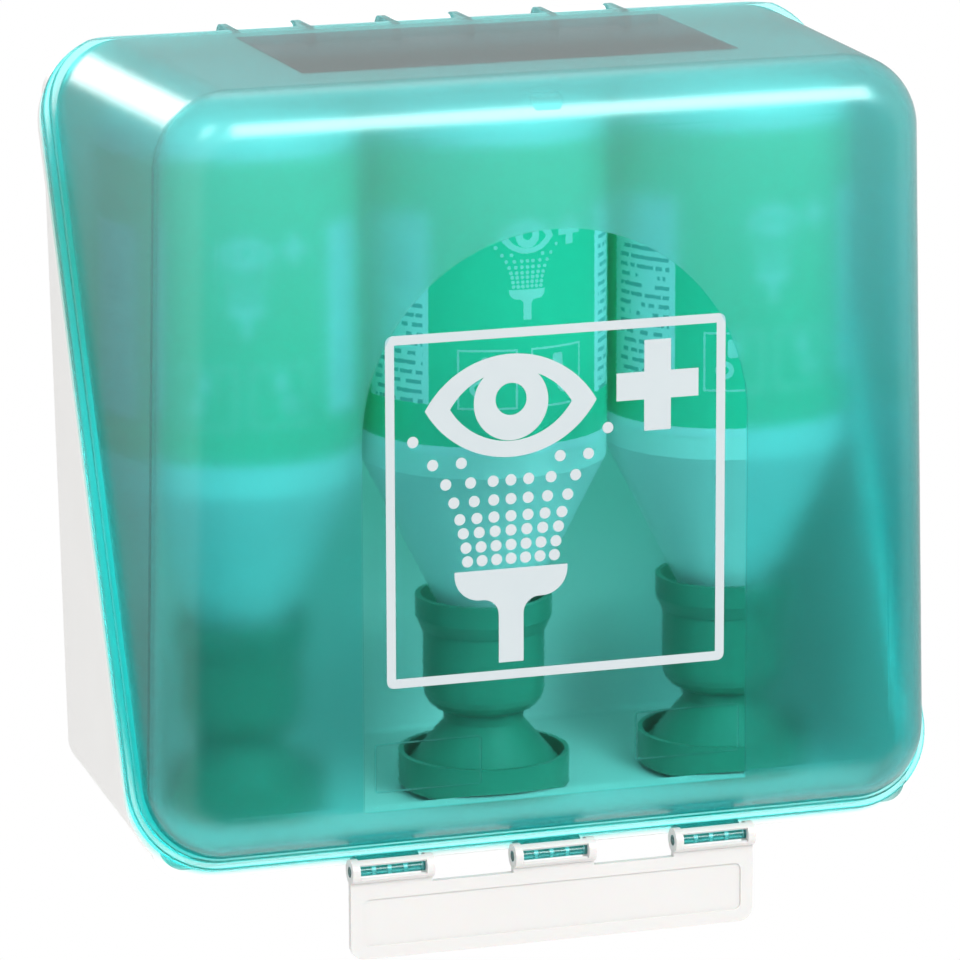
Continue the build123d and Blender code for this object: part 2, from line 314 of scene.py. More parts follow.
@dataclass(frozen=True)
class OpaquePlastic(Finish):
    """Injection-moulded plastic that no light passes through: a soft sheen over a fine moulded grain."""

    colour: str
    drift: str
    roughness: float
    ior: float = 1.53
    grain: float = 0.5
    relief: float = 0.02
    bleed: float = 0.0

    def build(self, tree: Tree) -> None:
        """Fill the material's node tree."""
        shader = add_node(tree, "ShaderNodeBsdfPrincipled", {
            "Base Color": mottled(tree, self.colour, self.drift, 30.0), "Roughness": self.roughness,
            "IOR": self.ior, "Normal": moulded_grain(tree, self.grain, self.relief, 0.5),
            "Subsurface Weight": self.bleed, "Subsurface Scale": 2 * MM})
        add_node(tree, "ShaderNodeOutputMaterial", {"Surface": shader.outputs[0]})


@dataclass(frozen=True)
class TintedStyrene(Finish):
    """Teal see-through styrene: its depth of colour comes from the wall that light crosses.

    The mould is spark-eroded, so the walls are frosted, apart from a polished window and a polished field on
    the top, whose base colour is greyed as a painted dark reflection. The frost lets less light through
    towards the top, a painted sheen for the light that falls from above. Lengths are in millimetres.
    """

    tint: str
    density: float
    frosted: float
    polished: float
    window_half_width: float
    window_low: float
    window_head: float
    field_x: tuple[float, float]
    field_y: tuple[float, float]
    top: float
    front: float
    groove: tuple[float, float] = (0.28, 0.6)
    face_margin: float = 1.0
    wall_reach: float = 4.0
    # Painted sheen: the frost lets less light through higher up, so the top of the cover looks lit from
    # above.
    painted_sheen_from: float = -30.0
    painted_sheen_clarity: float = 0.89
    frost_tint: tuple[float, float, float, float] = (0.55, 0.90, 0.92, 1.0)
    # Painted dark reflection: the polished field on the top is greyed as if it mirrored a dark room.
    painted_reflection_field_tint: tuple[float, float, float, float] = (0.50, 0.30, 0.33, 1.0)
    let_through: tuple[float, float, float] = (0.97, 0.97, 0.97)

    def polished_places(self, tree: Tree) -> tuple[Socket, Socket]:
        """Mark the places where the mould was polished.

        Args:
            tree: the node tree.

        Returns:
            1 in the window, and 1 in the field on the top.
        """
        x, y, z = add_node(tree, "ShaderNodeSeparateXYZ", {0: object_point(tree)}).outputs
        springing = self.window_head - self.window_half_width
        across = within(tree, x, -self.window_half_width * MM, self.window_half_width * MM)
        straight = all_of(tree, across, within(tree, z, self.window_low * MM, springing * MM))
        level = add_node(tree, "ShaderNodeMath", {0: z, 1: springing * MM}, operation="SUBTRACT")
        flat = add_node(tree, "ShaderNodeCombineXYZ", {0: x, 1: level.outputs[0]})
        reach = add_node(tree, "ShaderNodeVectorMath", {0: flat.outputs[0]}, operation="LENGTH")
        arch = within(tree, reach.outputs["Value"], -1.0, self.window_half_width * MM)
        shallow, deep = self.groove
        outer_face = within(tree, y, (self.front - self.face_margin) * MM, (self.front + shallow) * MM)
        inner_face = within(tree, y, (self.front + deep) * MM, (self.front + self.wall_reach) * MM)
        window = all_of(tree, any_of(tree, outer_face, inner_face), any_of(tree, straight, arch))
        near_top = within(tree, z, (self.top - self.wall_reach) * MM, (self.top + self.face_margin) * MM)
        field = all_of(tree, near_top, within(tree, x, self.field_x[0] * MM, self.field_x[1] * MM),
                       within(tree, y, self.field_y[0] * MM, self.field_y[1] * MM))
        return window, field

    def build(self, tree: Tree) -> None:
        """Fill the material's node tree."""
        window, field = self.polished_places(tree)
        bright = any_of(tree, window, field)
        height = add_node(tree, "ShaderNodeSeparateXYZ", {0: object_point(tree)}).outputs[2]
        # Painted sheen: less transmission higher up lightens the upper walls as if lit from above.
        painted_sheen = add_node(tree, "ShaderNodeMapRange", {0: height, 1: self.painted_sheen_from * MM, 2: self.top * MM,
                                                     3: 1.0, 4: self.painted_sheen_clarity})
        clear = add_node(tree, "ShaderNodeMix", {0: bright, 2: painted_sheen.outputs[0], 3: 1.0})
        body = blend_colours(tree, window, self.frost_tint, linear("#FFFFFF"))
        # Painted dark reflection: a greyed base colour in the polished field on the top.
        body = blend_colours(tree, field, body, self.painted_reflection_field_tint)
        roughness = add_node(tree, "ShaderNodeMix", {0: bright, 2: self.frosted, 3: self.polished})
        shader = add_node(tree, "ShaderNodeBsdfPrincipled", {
            "Base Color": body, "Roughness": roughness.outputs[0], "IOR": 1.57,
            "Transmission Weight": clear.outputs[0], "Normal": moulded_grain(tree, 0.7, 0.012, 0.35)})
        surface = shadow_clear(tree, shader.outputs[0], self.let_through)
        depth = add_node(tree, "ShaderNodeVolumeAbsorption", {"Color": linear(self.tint),
                                                              "Density": self.density})
        add_node(tree, "ShaderNodeOutputMaterial", {"Surface": surface, "Volume": depth.outputs[0]})


@dataclass(frozen=True)
class MilkyPolyethylene(Finish):
    """Blown natural polyethylene: waxy, cloudy, and light enough to show the liquid's level softly."""

    colour: str
    clarity: float
    roughness: float
    let_through: tuple[float, float, float] = (0.95, 0.96, 0.96)

    def build(self, tree: Tree) -> None:
        """Fill the material's node tree."""
        shader = add_node(tree, "ShaderNodeBsdfPrincipled", {
            "Base Color": mottled(tree, self.colour, "#E9F2F1", 18.0), "Roughness": self.roughness,
            "IOR": 1.5, "Transmission Weight": self.clarity,
            "Normal": moulded_grain(tree, 1.5, 0.03, 0.4)})
        surface = shadow_clear(tree, shader.outputs[0], self.let_through)
        add_node(tree, "ShaderNodeOutputMaterial", {"Surface": surface})


@dataclass(frozen=True)
class Saline(Finish):
    """Sterile salt water: clear, colourless, with the refraction of water."""

    colour: str = "#F6FCFC"
    let_through: tuple[float, float, float] = (0.99, 0.99, 0.99)

    def build(self, tree: Tree) -> None:
        """Fill the material's node tree."""
        shader = add_node(tree, "ShaderNodeBsdfPrincipled", {
            "Base Color": mottled(tree, self.colour, "#EEF8F8", 40.0), "Roughness": 0.02, "IOR": 1.33,
            "Transmission Weight": 1.0})
        surface = shadow_clear(tree, shader.outputs[0], self.let_through)
        add_node(tree, "ShaderNodeOutputMaterial", {"Surface": surface})


@dataclass(frozen=True)
class PrintedFilm(Finish):
    """Printed polypropylene label film: green panels, pale panels with rows of blank bars, a satin coat.

    The centre is in metres. Angles are in degrees round the bottle from its front, and heights and the rows'
    pitch are in millimetres.
    """

    centre: tuple[float, float]
    turn: float
    low: float
    high: float
    green: str = "#3CD6AC"
    pale: str = "#F2F6F8"
    ink: str = "#8FBCBE"
    pale_panels: tuple[tuple[float, float], ...] = ((-81.0, -44.0), (44.0, 64.0), (108.0, 180.0))
    edge: float = 2.6
    lower_band: float = 14.3
    upper_band: float = 19.5
    row_pitch: float = 2.7
    row_share: tuple[float, float] = (0.3, 0.72)
    row_step: float = 7.3
    word_length: float = 4.0
    word_level: float = 0.44
    margins: tuple[float, float] = (4.0, 3.0)
    let_through: tuple[float, float, float] = (0.62, 0.86, 0.78)

    def build(self, tree: Tree) -> None:
        """Fill the material's node tree."""
        place = add_node(tree, "ShaderNodeMapping", {
            "Vector": object_point(tree), "Location": (-self.centre[0], -self.centre[1], 0.0)},
            vector_type="POINT")
        x, y, z = add_node(tree, "ShaderNodeSeparateXYZ", {0: place.outputs[0]}).outputs
        forwards = add_node(tree, "ShaderNodeMath", {0: y, 1: -1.0}, operation="MULTIPLY").outputs[0]
        angle = add_node(tree, "ShaderNodeMath", {0: x, 1: forwards}, operation="ARCTAN2").outputs[0]
        degrees = add_node(tree, "ShaderNodeMath", {0: angle, 1: 180 / math.pi, 2: -self.turn},
                           operation="MULTIPLY_ADD").outputs[0]
        panels = any_of(tree, *(within(tree, degrees, low, high) for low, high in self.pale_panels))
        panels = all_of(tree, panels, within(tree, z, (self.low + self.lower_band) * MM,
                                             (self.high - self.upper_band) * MM))
        edge = within(tree, z, (self.low - self.edge) * MM, (self.low + self.edge) * MM)
        paper = any_of(tree, panels, edge)
        rows = add_node(tree, "ShaderNodeMath", {0: z, 1: self.row_pitch * MM}, operation="FLOORED_MODULO")
        lines = within(tree, rows.outputs[0], *(share * self.row_pitch * MM for share in self.row_share))
        row = add_node(tree, "ShaderNodeMath", {0: z, 1: self.row_pitch * MM}, operation="SNAP")
        row_place = add_node(tree, "ShaderNodeCombineXYZ", {0: degrees, 1: row.outputs[0]})
        spread = (1 / self.word_length, self.row_step / (self.row_pitch * MM), 1)
        stretch = add_node(tree, "ShaderNodeMapping", {"Vector": row_place.outputs[0], "Scale": spread},
                           vector_type="POINT")
        words = add_node(tree, "ShaderNodeTexNoise", {"Vector": stretch.outputs[0], "Scale": 1.0,
                                                      "Detail": 1.0})
        gaps = within(tree, words.outputs[0], self.word_level, 1.0)
        before, after = self.margins
        margin = any_of(tree, *(within(tree, degrees, low + before, high - after)
                                for low, high in self.pale_panels))
        bars = all_of(tree, lines, gaps, margin, panels)
        colour = blend_colours(tree, paper, linear(self.green), linear(self.pale))
        colour = blend_colours(tree, bars, colour, linear(self.ink))
        shader = add_node(tree, "ShaderNodeBsdfPrincipled", {
            "Base Color": colour, "Roughness": 0.32, "IOR": 1.49,
            "Normal": moulded_grain(tree, 2.0, 0.01, 0.3)})
        surface = shadow_clear(tree, shader.outputs[0], self.let_through)
        add_node(tree, "ShaderNodeOutputMaterial", {"Surface": surface})


@dataclass(frozen=True)
class Ink(Finish):
    """Screen-printed ink: dense, matt, with the faint pin-holed look of a dry print."""

    colour: str
    drift: str

    def build(self, tree: Tree) -> None:
        """Fill the material's node tree."""
        shader = add_node(tree, "ShaderNodeBsdfPrincipled", {
            "Base Color": mottled(tree, self.colour, self.drift, 12.0), "Roughness": 0.45, "IOR": 1.48,
            "Normal": moulded_grain(tree, 0.6, 0.01, 0.3)})
        add_node(tree, "ShaderNodeOutputMaterial", {"Surface": shader.outputs[0]})


@dataclass(frozen=True)
class StudioPaint(Finish):
    """Matt white emulsion of a studio floor."""

    colour: str = "#FBFBFB"

    def build(self, tree: Tree) -> None:
        """Fill the material's node tree."""
        shader = add_node(tree, "ShaderNodeBsdfPrincipled", {
            "Base Color": mottled(tree, self.colour, "#F8F8F8", 400.0), "Roughness": 0.9,
            "Specular IOR Level": 0.1})
        add_node(tree, "ShaderNodeOutputMaterial", {"Surface": shader.outputs[0]})


# White ABS, spark-eroded: an even, slightly warm white with a low sheen.
WHITE_ABS = OpaquePlastic("white_abs_spark_eroded", "#F1F0EE", "#ECEBE9", 0.42, grain=0.6)
# White polypropylene: a touch waxier than ABS, so light bleeds a little into it.
WHITE_PLATE = OpaquePlastic("white_polypropylene_moulded", "#DCDBD9", "#D8D7D5", 0.38, ior=1.49, bleed=0.15)
# Green polypropylene: a mid green that the teal cover turns dark.
GREEN_HEAD = OpaquePlastic("green_polypropylene_moulded", "#3F957E", "#398C75", 0.35, ior=1.49, grain=0.8)
# White insert of the spray head: bright polypropylene.
WHITE_INSERT = OpaquePlastic("white_polypropylene_insert", "#EEF2F1", "#E8EDEC", 0.35, ior=1.49)
# Grey nitrile rubber: dull and soft.
RUBBER = OpaquePlastic("grey_nitrile_rubber", "#4A4C4E", "#434547", 0.75, grain=0.4, relief=0.04)
# Natural polyethylene of the blown bottles.
POLYETHYLENE = MilkyPolyethylene("natural_polyethylene_blown", "#F8FCFB", 0.12, 0.38)
SALINE = Saline("sterile_saline")
# White screen ink on the cover.
SIGN_INK = Ink("white_screen_ink", "#C4CCCE", "#BFC8CB")
# Pale ink that the labels are printed with.
LABEL_INK = Ink("pale_label_ink", "#D9ECE2", "#D0E6DA")
STUDIO_WHITE = StudioPaint("white_studio_paint")


# ---------------------------------------------------------------- modelling by hand


def activate(piece: Piece) -> None:
    """Select one piece alone and make it the active one."""
    bpy.ops.object.select_all(action="DESELECT")
    piece.select_set(True)
    bpy.context.view_layer.objects.active = piece


def choose(piece: Piece, kind: Element, wanted: Callable[[Vector, Vector], bool]) -> int:
    """Select faces or edges in edit mode by their place.

    Args:
        piece: the piece that is being edited.
        kind: faces or edges.
        wanted: says from the middle and the normal, or an edge's direction, whether an element is taken.

    Returns:
        How many were taken.
    """
    bpy.ops.mesh.select_all(action="DESELECT")
    bpy.ops.mesh.select_mode(type=kind.value)
    mesh = bmesh.from_edit_mesh(piece.data)
    taken = 0
    for element in (mesh.faces if kind is Element.FACE else mesh.edges):
        corners = [corner.co for corner in element.verts]
        middle = sum(corners, Vector()) / len(corners)
        heading = element.normal if kind is Element.FACE else (corners[1] - corners[0]).normalized()
        if wanted(middle, heading):
            element.select_set(True)
            taken += 1
    bmesh.update_edit_mesh(piece.data)
    return taken


def disc(name: str, radius: float, x: float, z: float, sides: int = 64, depth: float = 1.0) -> Piece:
    """A disc that faces -Y, in drawing millimetres.

    Args:
        name: the piece's name.
        radius: its radius.
        x: its middle across.
        z: its middle up.
        sides: how many sides draw its rim.
        depth: its thickness.

    Returns:
        The disc.
    """
    bpy.ops.object.select_all(action="DESELECT")
    bpy.ops.mesh.primitive_cylinder_add(vertices=sides, radius=radius, depth=depth, location=(x, 0, z),
                                        rotation=(math.pi / 2, 0, 0))
    piece = bpy.context.active_object
    piece.name = name
    bpy.ops.object.transform_apply(location=True, rotation=True, scale=True)
    return piece


def slab(name: str, left: float, right: float, low: float, high: float, depth: float = 1.0) -> Piece:
    """A rectangular slab that faces -Y, in drawing millimetres.

    Args:
        name: the piece's name.
        left: its left edge.
        right: its right edge.
        low: its lower edge.
        high: its upper edge.
        depth: its thickness.

    Returns:
        The slab.
    """
    bpy.ops.object.select_all(action="DESELECT")
    bpy.ops.mesh.primitive_cube_add(size=1, location=((left + right) / 2, 0, (low + high) / 2))
    piece = bpy.context.active_object
    piece.name = name
    piece.scale = (right - left, depth, high - low)
    bpy.ops.object.transform_apply(location=True, rotation=True, scale=True)
    return piece


def combine(piece: Piece, tool: Piece, how: Combine) -> Piece:
    """Combine a solid with another, which is used up.

    Args:
        piece: the solid that stays.
        tool: the other solid.
        how: join, cut or keep the overlap.

    Returns:
        The solid that stays.
    """
    activate(piece)
    step = piece.modifiers.new(how.name.lower(), "BOOLEAN")
    step.operation = how.value
    step.object = tool
    bpy.ops.object.modifier_apply(modifier=step.name)
    bpy.data.objects.remove(tool)
    return piece


def round_corners(piece: Piece, radius: float, wanted: Callable[[Vector], bool], segments: int = 10) -> Piece:
    """Round some of the corners of a flat solid that faces -Y.

    Args:
        piece: the flat solid.
        radius: the corners' radius.
        wanted: says from a corner edge's middle whether it is rounded.
        segments: how many steps draw each round.

    Returns:
        The same piece.
    """
    activate(piece)
    bpy.ops.object.mode_set(mode="EDIT")
    choose(piece, Element.EDGE, lambda middle, heading: abs(heading.y) > 0.99 and wanted(middle))
    bpy.ops.mesh.bevel(offset=radius, segments=segments, affect="EDGES", clamp_overlap=False)
    bpy.ops.object.mode_set(mode="OBJECT")
    return piece


def joined(name: str, pieces: list[Piece]) -> Piece:
    """Join several pieces into one object.

    Args:
        name: the joined object's name.
        pieces: what is joined.

    Returns:
        The joined object.
    """
    activate(pieces[0])
    for piece in pieces:
        piece.select_set(True)
    bpy.ops.object.join()
    pieces[0].name = name
    return pieces[0]


def copied(piece: Piece, name: str) -> Piece:
    """A copy of a piece with a mesh of its own.

    Args:
        piece: what is copied.
        name: the copy's name.

    Returns:
        The copy.
    """
    twin = bpy.data.objects.new(name, piece.data.copy())
    bpy.context.scene.collection.objects.link(twin)
    return twin


# ---------------------------------------------------------------- the sign


@dataclass
class EyewashSign:
    """The eyewash sign as flat solids, in millimetres about the middle of its square, facing -Y."""

    square: float = 98.6
    bar: float = 2.6
    corner: float = 2.0
    eye_middle: tuple[float, float] = (-13.2, 27.75)
    eye_half: tuple[float, float] = (24.8, 14.4)
    white_half: tuple[float, float] = (17.6, 9.9)
    iris_radius: float = 10.75
    iris_lift: float = 1.0
    pupil_radius: float = 4.5
    pupil_lift: float = 1.8
    cross_middle: tuple[float, float] = (29.4, 30.5)
    cross_size: tuple[float, float] = (24.0, 25.5)
    cross_arm: float = 7.8
    drop_radius: float = 1.6
    drops_middle: float = -13.3
    drops_per_row: int = 7
    row_heights: tuple[float, ...] = (6.9, 1.6, -3.2, -7.2, -11.3, -15.2)
    row_halves: tuple[float, ...] = (18.8, 16.5, 14.8, 13.8, 13.05, 12.6)
    fan: float = 0.18
    fan_rows: int = 2
    loose_drops: tuple[tuple[float, float], ...] = ((28.2, 19.45), (22.55, 12.6), (14.3, 12.6))
    shower_top: float = -18.0
    shower_low: float = -26.4
    shower_half: float = 16.4
    shower_round: float = 7.4
    handle_half: float = 3.6
    handle_low: float = -44.5
    handle_fillet: float = 4.5

    def lens(self, name: str, half: tuple[float, float]) -> Piece:
        """An almond shape, where two large discs overlap.

        Args:
            name: the piece's name.
            half: half its width and half its height.

        Returns:
            The almond.
        """
        wide, tall = half
        radius = (wide ** 2 + tall ** 2) / (2 * tall)
        x, z = self.eye_middle
        upper = disc(name, radius, x, z + tall - radius, 192)
        lower = disc(name + "_tool", radius, x, z - tall + radius, 192, 1.02)
        return combine(upper, lower, Combine.OVERLAP)

    def frame(self) -> Piece:
        """The square bar round the sign, with rounded outer corners."""
        half = self.square / 2
        outer = slab("sign_frame", -half, half, -half, half)
        outer = round_corners(outer, self.corner, lambda middle: True, 6)
        inside = half - self.bar
        return combine(outer, slab("inside", -inside, inside, -inside, inside, 2.0), Combine.CUT)

    def eye(self) -> Piece:
        """The eye: an almond ring with an iris and an open pupil."""
        ring = self.lens("sign_eye", self.eye_half)
        hollow = self.lens("hollow", self.white_half)
        hollow.scale.y = 2.0
        ring = combine(ring, hollow, Combine.CUT)
        x, z = self.eye_middle
        iris = disc("iris", self.iris_radius, x, z + self.iris_lift, 64, 0.999)
        ring = combine(ring, iris, Combine.JOIN)
        return combine(ring, disc("pupil", self.pupil_radius, x, z + self.pupil_lift, 40, 2.0), Combine.CUT)

    def cross(self) -> Piece:
        """The cross beside the eye, drawn out of its upright by extruding the arms."""
        x, z = self.cross_middle
        wide, tall = self.cross_size
        arm = self.cross_arm / 2
        upright = slab("sign_cross", x - arm, x + arm, z - tall / 2, z + tall / 2)
        bpy.ops.object.mode_set(mode="EDIT")
        for level in (z - arm, z + arm):
            bpy.ops.mesh.select_all(action="SELECT")
            bpy.ops.mesh.bisect(plane_co=(x, 0, level), plane_no=(0, 0, 1))
        for hand in (-1, 1):
            choose(upright, Element.FACE,
                   lambda middle, heading: heading.x * hand > 0.9 and abs(middle.z - z) < 0.1)
            reach = hand * (wide / 2 - arm)
            bpy.ops.mesh.extrude_region_move(TRANSFORM_OT_translate={"value": (reach, 0, 0)})
        bpy.ops.object.mode_set(mode="OBJECT")
        return upright

    def drops(self) -> Piece:
        """The spray: rows of drops that fan out towards the eye."""
        places = [(hand * x, z) for x, z in self.loose_drops for hand in (-1, 1)]
        centre = self.drops_per_row // 2
        for row, (height, half) in enumerate(zip(self.row_heights, self.row_halves)):
            power = 1.0 + self.fan * max(0, self.fan_rows - row) / self.fan_rows
            for i in range(self.drops_per_row):
                share = abs(i - centre) / centre
                places.append((math.copysign(half * share ** power, i - centre), height))
        first = disc("sign_drops", self.drop_radius, 0, 0, 24)
        copies = []
        for x, z in places:
            drop = copied(first, "drop")
            drop.data.transform(Matrix.Translation((self.drops_middle + x, 0, z)))
            copies.append(drop)
        bpy.data.objects.remove(first)
        return joined("sign_drops", copies)

    def shower(self) -> Piece:
        """The shower head: a rounded bowl drawn down into a handle."""
        x = self.drops_middle
        half, stem = self.shower_half, self.handle_half
        bowl = slab("sign_shower", x - half, x + half, self.shower_low, self.shower_top)
        bpy.ops.object.mode_set(mode="EDIT")
        for edge in (x - stem, x + stem):
            bpy.ops.mesh.select_all(action="SELECT")
            bpy.ops.mesh.bisect(plane_co=(edge, 0, 0), plane_no=(1, 0, 0))
        choose(bowl, Element.FACE, lambda middle, heading: heading.z < -0.9 and abs(middle.x - x) < 0.1)
        bpy.ops.mesh.extrude_region_move(
            TRANSFORM_OT_translate={"value": (0, 0, self.handle_low - self.shower_low)})
        bpy.ops.mesh.select_all(action="SELECT")
        bpy.ops.mesh.dissolve_limited(angle_limit=math.radians(1))
        bpy.ops.object.mode_set(mode="OBJECT")

        def at_low(middle: Vector) -> bool:
            """Whether a corner is where the handle leaves the bowl, or the bowl's lower corner."""
            return abs(middle.z - self.shower_low) < 0.1

        round_corners(bowl, self.shower_round, lambda m: at_low(m) and abs(m.x - x) > half - 1)
        return round_corners(bowl, self.handle_fillet, lambda m: at_low(m) and abs(m.x - x) < half / 2)

    def draw(self) -> list[Piece]:
        """Draw the whole sign.

        Returns:
            Its frame, eye, cross, drops and shower head.
        """
        return [self.frame(), self.eye(), self.cross(), self.drops(), self.shower()]


# ---------------------------------------------------------------- the box


@dataclass
class Casing:
    """The opaque base of the box and the label plate that hangs from the cover."""

    def build(self) -> None:
        """Dress the base and the plate."""
        WHITE_ABS.dress(frame["nodes"]["base_shell"])
        log.info("base_shell dressed")
        WHITE_PLATE.dress(frame["nodes"]["label_plate"])
        log.info("label_plate dressed")


@dataclass
class Cover:
    """The see-through cover with the sign printed in its polished window. Lengths are in millimetres."""

    recess: float = 0.2
    ink_gap: float = 0.02
    ink_thickness: float = 0.08
    sign_height: float = -17.6
    window_half_width: float = 56.0
    window_low: float = 16.0
    window_head: float = 176.0
    flange_low: float = -117.7
    field_x: tuple[float, float] = (-62.0, 65.0)
    field_y: tuple[float, float] = (-93.0, -29.0)

    def finish(self) -> TintedStyrene:
        """The cover's finish, its polished places set out from the cover's box."""
        low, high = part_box("cover_shell")
        return TintedStyrene(
            "teal_styrene_frosted", tint="#AFF1F0", density=700.0, frosted=0.25, polished=0.04,
            window_half_width=self.window_half_width, window_low=self.flange_low + self.window_low,
            window_head=self.flange_low + self.window_head, field_x=self.field_x, field_y=self.field_y,
            top=high.z / MM, front=low.y / MM)

    def build(self, sign: list[Piece]) -> None:
        """Dress the cover and lay the sign's ink in its window.

        Args:
            sign: the drawn sign.
        """
        self.finish().dress(frame["nodes"]["cover_shell"])
        log.info("cover_shell dressed")
        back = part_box("cover_shell")[0].y + (self.recess - self.ink_gap) * MM
        middle = back - self.ink_thickness / 2 * MM
        place = (Matrix.Translation((0, middle, self.sign_height * MM))
                 @ Matrix.Diagonal((MM, self.ink_thickness * MM, MM, 1)))
        for drawn in sign:
            piece = copied(drawn, drawn.name + "_print")
            piece.data.transform(place)
            SIGN_INK.dress(piece)
            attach(piece, "cover")
            log.info("%s printed", piece.name)


# ---------------------------------------------------------------- the bottles


@dataclass
class EyewashBottle:
    """One bottle with its label, its spray head and its dust cap.

    Lengths and heights are in millimetres, and angles in degrees from the bottle's front.
    """

    side: Side
    turn: float = 0.0
    sign_scale: float = 0.3226
    sign_angle: float = 9.0
    sign_height: float = 42.0
    ink_thickness: float = 0.05
    step_angle: float = 2.0
    square_size: float = 17.0
    square_line: float = 0.55
    square_angles: tuple[float, float] = (-16.5, 17.6)
    square_height: float = 11.0
    eye_radius: float = 2.6
    pupil_radius: float = 1.2
    eye_place: tuple[float, float] = (2.5, -2.4)
    bottle_half: float = 1.7
    bottle_heights: tuple[float, float] = (1.2, 6.4)
    bottle_round: float = 0.8

    def node(self, piece: str) -> Piece:
        """The CAD node of one of this bottle's pieces."""
        return frame["nodes"][f"{piece}_{self.side.value}"]

    def film(self) -> PrintedFilm:
        """The label's finish, set out from the label's box."""
        low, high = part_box(f"wrap_label_{self.side.value}")
        return PrintedFilm(f"printed_label_film_{self.side.value}",
                           ((low.x + high.x) / 2, (low.y + high.y) / 2), self.turn, low.z / MM, high.z / MM)

    def wrap(self, piece: Piece, angle: float, height: float, scale: float) -> Piece:
        """Lay a flat print round the label.

        Args:
            piece: the print, in drawing millimetres, facing -Y.
            angle: where its middle goes, in degrees from the bottle's front.
            height: where its middle goes, in millimetres.
            scale: how much smaller it is printed.

        Returns:
            The print on the label.
        """
        low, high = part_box(f"wrap_label_{self.side.value}")
        radius = (high.x - low.x) / 2
        activate(piece)
        bpy.ops.object.mode_set(mode="EDIT")
        choose(piece, Element.FACE, lambda middle, heading: heading.y > -0.9)
        bpy.ops.mesh.delete(type="FACE")
        bpy.ops.object.mode_set(mode="OBJECT")
        flatten = Matrix.Diagonal((scale * MM, 0, scale * MM, 1))
        piece.data.transform(Matrix.Translation((0, -radius, 0)) @ flatten)
        step = radius * math.radians(self.step_angle)
        reach = max(abs(corner.co.x) for corner in piece.data.vertices)
        bpy.ops.object.mode_set(mode="EDIT")
        for i in range(-int(reach / step), int(reach / step) + 1):
            bpy.ops.mesh.select_all(action="SELECT")
            bpy.ops.mesh.bisect(plane_co=(i * step, 0, 0), plane_no=(1, 0, 0))
        bpy.ops.mesh.select_all(action="SELECT")
        bpy.ops.mesh.quads_convert_to_tris()
        bpy.ops.object.mode_set(mode="OBJECT")
        for corner in piece.data.vertices:
            bend = corner.co.x / radius
            corner.co = Vector((radius * math.sin(bend), -radius * math.cos(bend), corner.co.z))
        solid = piece.modifiers.new("ink", "SOLIDIFY")
        solid.thickness = self.ink_thickness * MM
        solid.offset = 1.0
        bpy.ops.object.modifier_apply(modifier=solid.name)
        centre = Vector(((low.x + high.x) / 2, (low.y + high.y) / 2, height * MM))
        spin = Matrix.Rotation(math.radians(angle + self.turn), 4, "Z")
        piece.data.transform(Matrix.Translation(centre) @ spin)
        return piece

    def instruction_square(self, name: str, tilt: float) -> Piece:
        """A thin outlined square with a plain picture of a bottle held to an eye.

        Args:
            name: the piece's name.
            tilt: which side of the bottle the eye is on, -1 for the left and 1 for the right.

        Returns:
            The flat square.
        """
        half = self.square_size / 2
        inside = half - self.square_line
        outline = slab(name, -half, half, -half, half)
        outline = combine(outline, slab("inside", -inside, inside, -inside, inside, 2.0), Combine.CUT)
        x, z = self.eye_place[0] * tilt, self.eye_place[1]
        eye = combine(disc("eye", self.eye_radius, x, z, 32), disc("pupil", self.pupil_radius, x, z, 20, 2.0),
                      Combine.CUT)
        bottle = slab("bottle", -self.bottle_half, self.bottle_half, *self.bottle_heights)
        bottle = round_corners(bottle, self.bottle_round, lambda middle: True, 4)
        return joined(name, [outline, eye, bottle])

    def build(self, sign: list[Piece]) -> None:
        """Dress the bottle's nodes and print its label.

        Args:
            sign: the drawn sign, whose small copy goes on the label.
        """
        POLYETHYLENE.dress(self.node("bottle"))
        SALINE.dress(self.node("saline"))
        self.film().dress(self.node("wrap_label"))
        for piece in ("collar", "eye_cup", "dust_cap"):
            GREEN_HEAD.dress(self.node(piece))
        WHITE_INSERT.dress(self.node("spray_insert"))
        RUBBER.dress(self.node("neck_seal"))
        log.info("bottle_%s dressed", self.side.value)
        for drawn in sign[1:]:
            small = copied(drawn, f"{drawn.name}_label_{self.side.value}")
            self.print_on(self.wrap(small, self.sign_angle, self.sign_height, self.sign_scale))
        for i, angle in enumerate(self.square_angles):
            square = self.instruction_square(f"instruction_square_{i + 1}_{self.side.value}", 2 * i - 1)
            self.print_on(self.wrap(square, angle, self.square_height, 1.0))

    def print_on(self, piece: Piece) -> None:
        """Ink a print and let it ride on the bottle."""
        LABEL_INK.dress(piece)
        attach(piece, f"bottle_{self.side.value}")
        log.info("%s printed", piece.name)


# ---------------------------------------------------------------- the studio


@dataclass(frozen=True)
class DarkCard:
    """A soft-edged dark card in the room, where a face of the box mirrors it to the camera.

    signs says on which side of the box it is, to the right, behind and above. share is how much of the room's
    light it keeps, and inner and outer are the half angles, in degrees, where its soft edge starts and ends.
    """

    signs: tuple[int, int, int]
    share: float
    inner: float
    outer: float


@dataclass(frozen=True)
class Softbox:
    """A square softbox aimed at the box: where it stands and its side, in metres, and its power, in watts."""

    name: str
    place: tuple[float, float, float]
    size: float
    power: float


